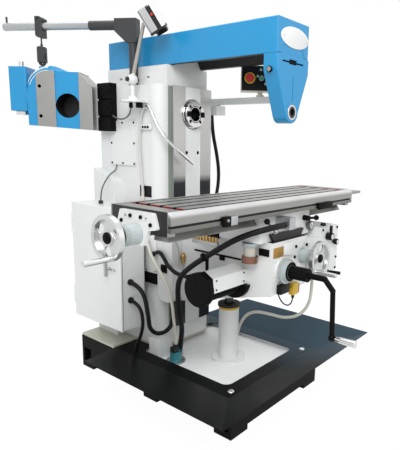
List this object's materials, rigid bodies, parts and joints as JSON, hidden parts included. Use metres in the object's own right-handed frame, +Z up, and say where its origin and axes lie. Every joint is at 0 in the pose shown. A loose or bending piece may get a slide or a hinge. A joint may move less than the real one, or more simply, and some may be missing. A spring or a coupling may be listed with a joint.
{
  "type": "knee and column milling machine",
  "caption": "Horizontal knee and column milling machine with overarm, slotted table on saddle and knee, spare vertical head on a jib, pendant, cabinet and chip tray",
  "frame": {"origin": "centre of the four holding-down holes in the base, at floor level", "axes": "+X along the table to the operator's right, +Y from the operator to the column, +Z up"},
  "size_m": [1.676, 1.8988, 1.9087],
  "materials": {
    "white_paint": "gloss",
    "black_paint": "semi-gloss",
    "blue_paint": "gloss",
    "ground_iron": "ground",
    "steel": "brushed",
    "bright_steel": "polished",
    "bronze": "satin",
    "grey_metal": "satin",
    "black_rubber": "matt",
    "cream_hose": "satin",
    "grey_cable": "satin",
    "teal_paint": "gloss",
    "clear_plastic": "gloss",
    "black_plastic": "satin",
    "red_plastic": "gloss",
    "green_plastic": "gloss"
  },
  "bodies": {
    "frame": {"base_casting": "black_paint", "chip_tray": "black_paint", "column_casting": "white_paint", "side_cover": "white_paint", "rear_cover": "white_paint", "main_motor": "grey_metal", "drive_belt": "black_rubber", "spindle_bearings": "steel", "elevating_tube": "white_paint", "electrical_cabinet": "white_paint", "coolant_pump": "teal_paint", "coolant_pipe": "grey_metal", "lamp_bracket": "white_paint", "head_bracket": "black_paint", "base_conduit": "black_rubber", "pendant_conduit": "black_rubber", "cover_cable": "grey_cable", "cabinet_conduit": "black_rubber", "coolant_hose": "cream_hose", "knee_conduit": "black_rubber", "drain_hose": "cream_hose"},
    "spindle": {"spindle": "bright_steel"},
    "motor_pulley": {"motor_pulley": "steel"},
    "ram": {"ram": "blue_paint"},
    "arbor_support": {"arbor_support": "blue_paint", "support_bush": "bronze"},
    "knee": {"knee": "white_paint", "feed_motor": "black_paint", "motor_hood": "white_paint", "feed_gearbox": "white_paint", "lubricator": "clear_plastic", "saddle_conduit": "black_rubber"},
    "elevating_screw": {"elevating_screw": "steel"},
    "elevating_crank": {"crank_arm": "black_paint", "crank_dial": "grey_metal", "crank_grip": "bright_steel"},
    "cross_feed": {"cross_screw": "steel", "cross_dial": "grey_metal", "cross_handwheel": "grey_metal"},
    "saddle": {"saddle": "white_paint"},
    "clamp_lever": {"clamp_lever": "bright_steel"},
    "table": {"table": "ground_iron", "end_brackets": "white_paint"},
    "table_feed": {"table_screw": "steel", "table_dial": "grey_metal", "table_handwheel": "bright_steel"},
    "feed_lever": {"feed_lever": "black_plastic"},
    "cabinet_door": {"cabinet_door": "white_paint"},
    "door_handle": {"door_handle": "grey_metal"},
    "pendant_arm": {"pendant_arm": "white_paint"},
    "pendant_box": {"pendant_box": "black_plastic"},
    "stop_button": {"stop_button": "red_plastic"},
    "start_button": {"start_button": "green_plastic"},
    "jib": {"jib_arm": "black_paint"},
    "hoist": {"hoist_trolley": "black_paint", "vertical_head": "blue_paint"},
    "head_swivel": {"head_swivel": "blue_paint"},
    "head_spindle": {"head_spindle": "bright_steel"},
    "lamp_arm": {"lamp_arm": "grey_metal"},
    "lamp_head": {"lamp_head": "grey_metal"}
  },
  "joints": [
    {"name": "spindle_spin", "type": "hinge", "parent": "frame", "child": "spindle", "pos_m": [0, 0.2, 1.4095], "axis": [0, 1, 0], "continuous": true},
    {"name": "motor_spin", "type": "hinge", "parent": "frame", "child": "motor_pulley", "pos_m": [0, 0.45, 0.64], "axis": [0, 1, 0], "continuous": true},
    {"name": "ram_slide", "type": "slide", "parent": "frame", "child": "ram", "axis": [0, 1, 0], "range_m": [0, 0.2]},
    {"name": "support_slide", "type": "slide", "parent": "ram", "child": "arbor_support", "axis": [0, 1, 0], "range_m": [0, 0.3]},
    {"name": "knee_slide", "type": "slide", "parent": "frame", "child": "knee", "axis": [0, 0, 1], "range_m": [-0.03, 0.26], "deforming": ["knee_conduit", "cabinet_conduit", "drain_hose"]},
    {"name": "elevating_crank_spin", "type": "hinge", "parent": "knee", "child": "elevating_crank", "pos_m": [-0.07, -0.6, 0.72], "axis": [0, 1, 0], "continuous": true},
    {"name": "elevating_screw_spin", "type": "hinge", "parent": "knee", "child": "elevating_screw", "pos_m": [0, -0.23, 0.5], "axis": [0, 0, 1], "continuous": true},
    {"name": "cross_handwheel_spin", "type": "hinge", "parent": "knee", "child": "cross_feed", "pos_m": [0.095, -0.6, 0.76], "axis": [0, 1, 0], "continuous": true},
    {"name": "feed_lever_swing", "type": "hinge", "parent": "knee", "child": "feed_lever", "pos_m": [0.274, -0.64, 0.832], "axis": [0, 1, 0], "range_deg": [-25, 25]},
    {"name": "saddle_slide", "type": "slide", "parent": "knee", "child": "saddle", "axis": [0, 1, 0], "range_m": [-0.06, 0.13], "deforming": ["saddle_conduit"]},
    {"name": "clamp_lever_swing", "type": "hinge", "parent": "saddle", "child": "clamp_lever", "pos_m": [0.15, -0.58, 0.93], "axis": [0, 1, 0], "range_deg": [0, 60]},
    {"name": "table_slide", "type": "slide", "parent": "saddle", "child": "table", "axis": [1, 0, 0], "range_m": [-0.25, 0.38]},
    {"name": "table_handwheel_spin", "type": "hinge", "parent": "table", "child": "table_feed", "pos_m": [-0.872, -0.434, 0.955], "axis": [1, 0, 0], "continuous": true},
    {"name": "door_hinge", "type": "hinge", "parent": "frame", "child": "cabinet_door", "pos_m": [-0.4, 0.537, 0.635], "axis": [0, 0, -1], "range_deg": [0, 110]},
    {"name": "door_handle_turn", "type": "hinge", "parent": "cabinet_door", "child": "door_handle", "pos_m": [-0.41, 0.215, 0.64], "axis": [1, 0, 0], "range_deg": [0, 90]},
    {"name": "pendant_arm_swing", "type": "hinge", "parent": "frame", "child": "pendant_arm", "pos_m": [0.232, 0.085, 1.45], "axis": [0, 0, 1], "range_deg": [0, 95]},
    {"name": "pendant_box_turn", "type": "hinge", "parent": "pendant_arm", "child": "pendant_box", "pos_m": [0.232, -0.215, 1.5], "axis": [0, 0, 1], "range_deg": [-35, 35]},
    {"name": "stop_button_press", "type": "slide", "parent": "pendant_box", "child": "stop_button", "axis": [0.7869, 0.617, 0], "range_m": [0, 0.006], "stiffness_N_per_m": 800},
    {"name": "start_button_press", "type": "slide", "parent": "pendant_box", "child": "start_button", "axis": [0.7869, 0.617, 0], "range_m": [0, 0.006], "stiffness_N_per_m": 600},
    {"name": "jib_swing", "type": "hinge", "parent": "frame", "child": "jib", "pos_m": [-0.1685, 0.292, 1.6], "axis": [0, 0, 1], "range_deg": [0, 70]},
    {"name": "trolley_slide", "type": "slide", "parent": "jib", "child": "hoist", "axis": [-0.4726, 0.8813, 0], "range_m": [0, 0.15]},
    {"name": "head_swivel_turn", "type": "hinge", "parent": "hoist", "child": "head_swivel", "pos_m": [-0.42896, 0.82161, 1.482], "axis": [0.617, -0.7869, 0], "range_deg": [-45, 45]},
    {"name": "head_spindle_spin", "type": "hinge", "parent": "head_swivel", "child": "head_spindle", "pos_m": [-0.45858, 0.85938, 1.5], "axis": [0, 0, 1], "continuous": true},
    {"name": "lamp_swivel", "type": "hinge", "parent": "frame", "child": "lamp_arm", "pos_m": [-0.25, 0.202, 1.52], "axis": [0, 0, 1], "range_deg": [-80, 8]},
    {"name": "lamp_tilt", "type": "hinge", "parent": "lamp_arm", "child": "lamp_head", "pos_m": [-0.25, 0.112, 1.805], "axis": [0.6825, 0.6356, 0.3608], "range_deg": [-25, 25]}
  ],
  "couplings": [
    {"joint": "motor_spin", "follows": "spindle_spin", "ratio": 1.5},
    {"joint": "elevating_screw_spin", "follows": "elevating_crank_spin", "ratio": 0.083333}
  ]
}
